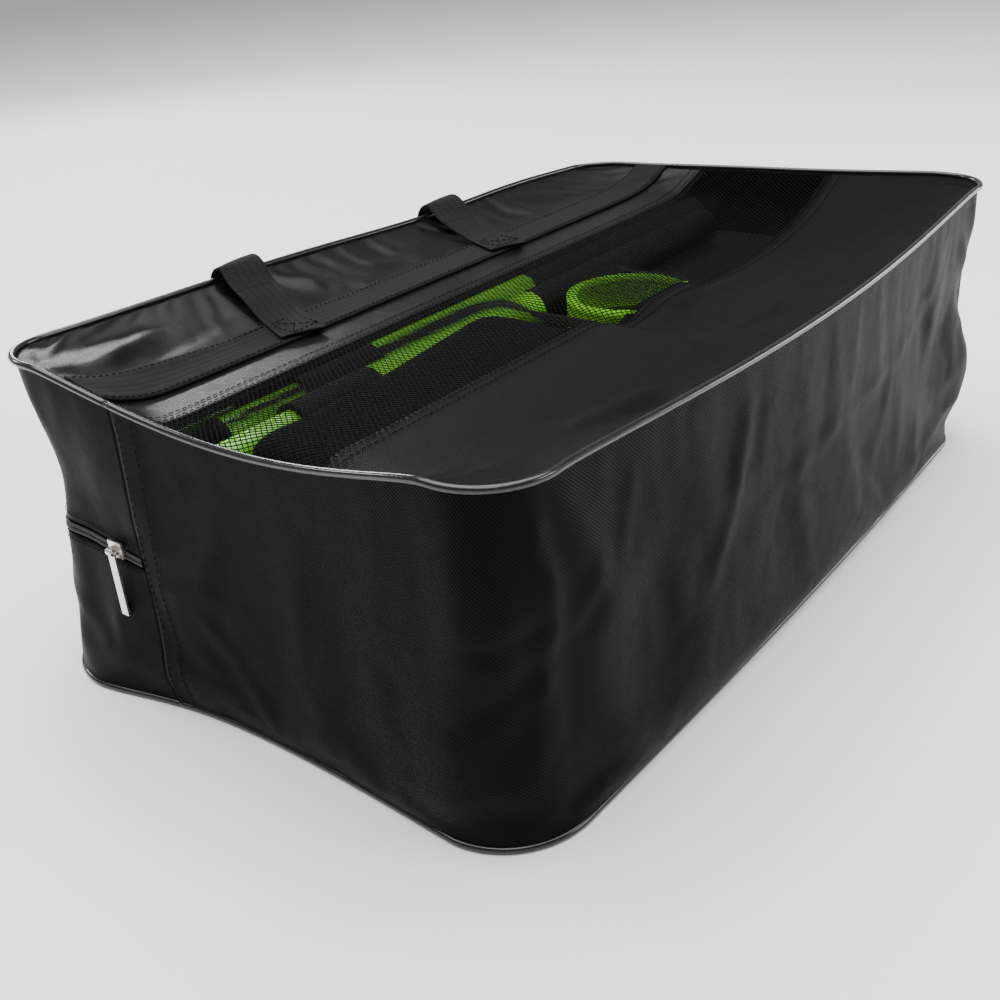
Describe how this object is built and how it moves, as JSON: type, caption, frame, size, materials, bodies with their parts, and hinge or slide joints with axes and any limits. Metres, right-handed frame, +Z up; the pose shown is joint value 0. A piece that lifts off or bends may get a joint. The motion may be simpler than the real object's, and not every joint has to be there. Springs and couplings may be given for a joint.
{
  "type": "weave pole set in zipped carry bag",
  "caption": "Zipped black carry bag with a mesh window, holding telescopic weave poles, fillable bases, ground pegs and spacing tape for dog agility training.",
  "frame": {"origin": "centre of the bag's footprint, on the face it rests on", "axes": "+X along the bag's length away from the end with the zip slider, +Y to the zipped side with the handle, +Z up"},
  "size_m": [0.6115, 0.3716, 0.2036],
  "materials": {
    "bag_cloth": "coated woven polyester, slight sheen",
    "mesh": "open knitted mesh",
    "webbing": "ribbed polypropylene webbing",
    "zip_tape": "woven tape",
    "zip_coil": "nylon coil",
    "piping": "glossy vinyl piping",
    "nickel": "nickel plated",
    "pole_green": "glossy lime green plastic",
    "black_rubber": "satin black rubber",
    "base_black": "fine-textured black plastic",
    "peg_steel": "zinc plated",
    "pouch_cloth": "dark grey woven cloth",
    "green_tape": "lime green webbing"
  },
  "bodies": {
    "bag": {"base_1": "base_black", "base_2": "base_black", "base_3": "base_black", "base_4": "base_black", "base_5": "base_black", "base_6": "base_black", "bottom_panel": "bag_cloth", "bottom_piping_front": "piping", "bottom_piping_rear": "piping", "end_seam_tape_left": "zip_tape", "end_seam_tape_right": "zip_tape", "filler_caps": "base_black", "front_gusset": "bag_cloth", "front_top_panel": "bag_cloth", "ground_pegs": "peg_steel", "lower_zip_panel": "bag_cloth", "mesh_hem_front": "zip_tape", "mesh_hem_rear": "zip_tape", "mesh_panel": "mesh", "peg_pouch": "pouch_cloth", "pole_collar_1": "black_rubber", "pole_collar_2": "black_rubber", "pole_collar_3": "black_rubber", "pole_collar_4": "black_rubber", "pole_collar_5": "black_rubber", "pole_collar_6": "black_rubber", "pole_end_sleeves": "black_rubber", "pole_inner_1": "pole_green", "pole_inner_2": "pole_green", "pole_inner_3": "pole_green", "pole_inner_4": "pole_green", "pole_inner_5": "pole_green", "pole_inner_6": "pole_green", "pole_outer_1": "pole_green", "pole_outer_2": "pole_green", "pole_outer_3": "pole_green", "pole_outer_4": "pole_green", "pole_outer_5": "pole_green", "pole_outer_6": "pole_green", "pole_tips": "black_rubber", "spacing_tape": "green_tape", "top_piping_front": "piping", "top_strip_root": "bag_cloth", "zip_coil_lower": "zip_coil", "zip_tape_lower": "zip_tape"},
    "mouth": {"rear_top_panel": "bag_cloth", "upper_zip_panel": "bag_cloth", "top_piping_rear": "piping", "webbing_strap": "webbing", "zip_tape_upper": "zip_tape", "zip_coil_upper": "zip_coil", "handle_tab_left": "webbing", "handle_tab_right": "webbing"},
    "handle_legs": {"handle_leg_left": "webbing", "handle_leg_right": "webbing"},
    "handle_grip": {"handle_grip": "webbing"},
    "slider": {"zip_slider": "nickel"},
    "puller": {"zip_puller": "nickel"}
  },
  "joints": [
    {"name": "mouth_hinge", "type": "hinge", "parent": "bag", "child": "mouth", "pos_m": [0, 0.079, 0.2], "axis": [1, 0, 0], "range_deg": [0, 80]},
    {"name": "handle_lift", "type": "hinge", "parent": "mouth", "child": "handle_legs", "pos_m": [0, 0.1195, 0.202], "axis": [1, 0, 0], "range_deg": [0, 90]},
    {"name": "handle_fold", "type": "hinge", "parent": "handle_legs", "child": "handle_grip", "pos_m": [0, 0.186, 0.202], "axis": [1, 0, 0], "range_deg": [0, 90]},
    {"name": "slider_travel", "type": "slide", "parent": "bag", "child": "slider", "axis": [0, 1, 0], "range_m": [0, 0.03]},
    {"name": "puller_swing", "type": "hinge", "parent": "slider", "child": "puller", "pos_m": [-0.3052, 0.1, 0.1], "axis": [0, 1, 0], "range_deg": [0, 150]}
  ],
  "couplings": [
    {"joint": "handle_fold", "follows": "handle_lift", "ratio": 1}
  ]
}
